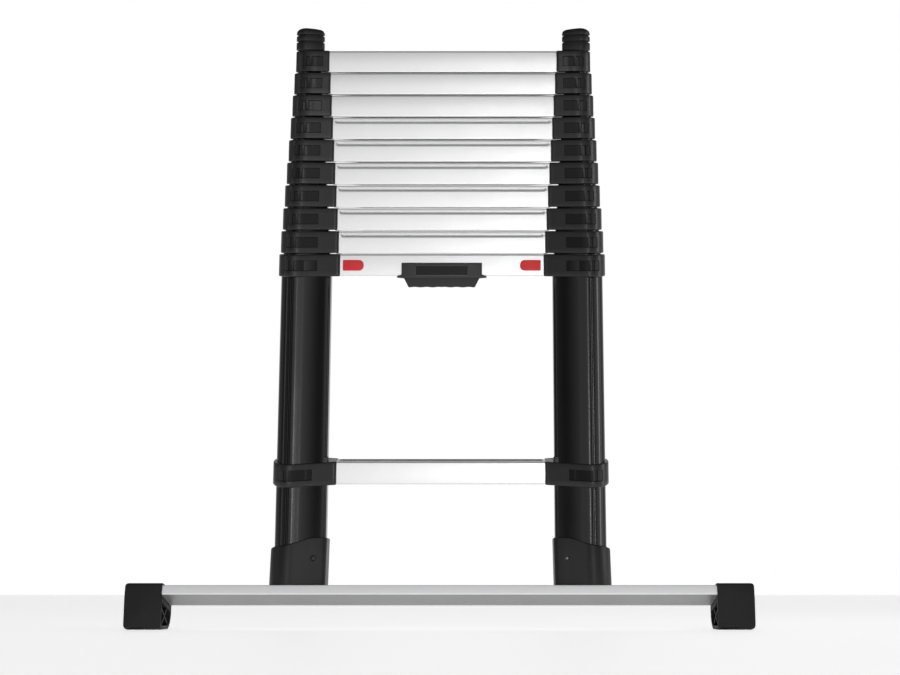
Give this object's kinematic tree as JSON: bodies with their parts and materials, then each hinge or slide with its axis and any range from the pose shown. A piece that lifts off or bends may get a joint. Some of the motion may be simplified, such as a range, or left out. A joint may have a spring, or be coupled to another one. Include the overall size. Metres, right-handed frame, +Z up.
{
  "type": "telescoping ladder",
  "caption": "Telescoping ladder, closed: nested black stiles with moulded collars, pale rungs, red release buttons, carry handle and a wide stabiliser bar on rubber feet.",
  "frame": {"origin": "on the floor under the middle of the closed ladder's box, between the two feet", "axes": "+Z up along the stiles; -Y is the front with the release buttons; +X to the right as seen from the front"},
  "size_m": [0.856, 0.076, 0.8727],
  "materials": {
    "tube_aluminium": "black gloss anodised aluminium tube, fine lengthwise drawing lines",
    "stile_black": "black gloss anodised tube with a satin black moulded nylon collar",
    "collar_plastic": "satin black moulded nylon",
    "shoe_plastic": "satin black moulded nylon, fine spark texture",
    "foot_rubber": "matt black moulded rubber",
    "cap_rubber": "matt black ribbed rubber",
    "rung_aluminium": "pale satin anodised extrusion",
    "bar_aluminium": "satin anodised extrusion",
    "button_plastic": "red satin moulded plastic",
    "grip_plastic": "black moulded nylon, rough on the finger side",
    "label_film": "plain dark plate with a pale border, no lettering",
    "pin_steel": "turned steel",
    "spring_steel": "drawn spring wire",
    "screw_steel": "dark zinc screw",
    "seat_plastic": "moulded nylon"
  },
  "bodies": {
    "base": {"foot_left": "foot_rubber", "shoe_left": "shoe_plastic", "shoe_screw_left": "screw_steel", "base_tube_left": "tube_aluminium", "clamp_collar_left": "collar_plastic", "base_collar_left": "collar_plastic", "pin_spring_left": "spring_steel", "spring_seat_left": "seat_plastic", "foot_right": "foot_rubber", "shoe_right": "shoe_plastic", "shoe_screw_right": "screw_steel", "base_tube_right": "tube_aluminium", "clamp_collar_right": "collar_plastic", "base_collar_right": "collar_plastic", "pin_spring_right": "spring_steel", "spring_seat_right": "seat_plastic", "stabiliser_bar": "bar_aluminium", "rung_1": "rung_aluminium", "rung_2": "rung_aluminium", "carry_handle": "grip_plastic", "label_plate": "label_film"},
    "section_3": {"stile_left_3": "stile_black", "stile_right_3": "stile_black", "rung_3": "rung_aluminium"},
    "section_4": {"stile_left_4": "stile_black", "stile_right_4": "stile_black", "rung_4": "rung_aluminium"},
    "section_5": {"stile_left_5": "stile_black", "stile_right_5": "stile_black", "rung_5": "rung_aluminium"},
    "section_6": {"stile_left_6": "stile_black", "stile_right_6": "stile_black", "rung_6": "rung_aluminium"},
    "section_7": {"stile_left_7": "stile_black", "stile_right_7": "stile_black", "rung_7": "rung_aluminium"},
    "section_8": {"stile_left_8": "stile_black", "stile_right_8": "stile_black", "rung_8": "rung_aluminium"},
    "section_9": {"stile_left_9": "stile_black", "stile_right_9": "stile_black", "rung_9": "rung_aluminium"},
    "section_10": {"stile_left_10": "stile_black", "stile_right_10": "stile_black", "rung_10": "rung_aluminium"},
    "section_11": {"stile_left_11": "stile_black", "stile_right_11": "stile_black", "rung_11": "rung_aluminium", "top_cap_left": "cap_rubber", "top_cap_right": "cap_rubber"},
    "release_left": {"release_button_left": "button_plastic", "lock_pin_left": "pin_steel"},
    "release_right": {"release_button_right": "button_plastic", "lock_pin_right": "pin_steel"}
  },
  "joints": [
    {"name": "slide_3", "type": "slide", "parent": "base", "child": "section_3", "axis": [0, 0, 1], "range_m": [0, 0.2658]},
    {"name": "slide_4", "type": "slide", "parent": "section_3", "child": "section_4", "axis": [0, 0, 1], "range_m": [0, 0.2658]},
    {"name": "slide_5", "type": "slide", "parent": "section_4", "child": "section_5", "axis": [0, 0, 1], "range_m": [0, 0.2658]},
    {"name": "slide_6", "type": "slide", "parent": "section_5", "child": "section_6", "axis": [0, 0, 1], "range_m": [0, 0.2658]},
    {"name": "slide_7", "type": "slide", "parent": "section_6", "child": "section_7", "axis": [0, 0, 1], "range_m": [0, 0.2658]},
    {"name": "slide_8", "type": "slide", "parent": "section_7", "child": "section_8", "axis": [0, 0, 1], "range_m": [0, 0.2658]},
    {"name": "slide_9", "type": "slide", "parent": "section_8", "child": "section_9", "axis": [0, 0, 1], "range_m": [0, 0.2658]},
    {"name": "slide_10", "type": "slide", "parent": "section_9", "child": "section_10", "axis": [0, 0, 1], "range_m": [0, 0.2658]},
    {"name": "slide_11", "type": "slide", "parent": "section_10", "child": "section_11", "axis": [0, 0, 1], "range_m": [0, 0.2658]},
    {"name": "release_left_slide", "type": "slide", "parent": "base", "child": "release_left", "axis": [1, 0, 0], "range_m": [0, 0.008], "stiffness_N_per_m": 300, "springref_m": -0.004, "deforming": ["pin_spring_left"]},
    {"name": "release_right_slide", "type": "slide", "parent": "base", "child": "release_right", "axis": [-1, 0, 0], "range_m": [0, 0.008], "stiffness_N_per_m": 300, "springref_m": -0.004, "deforming": ["pin_spring_right"]}
  ]
}
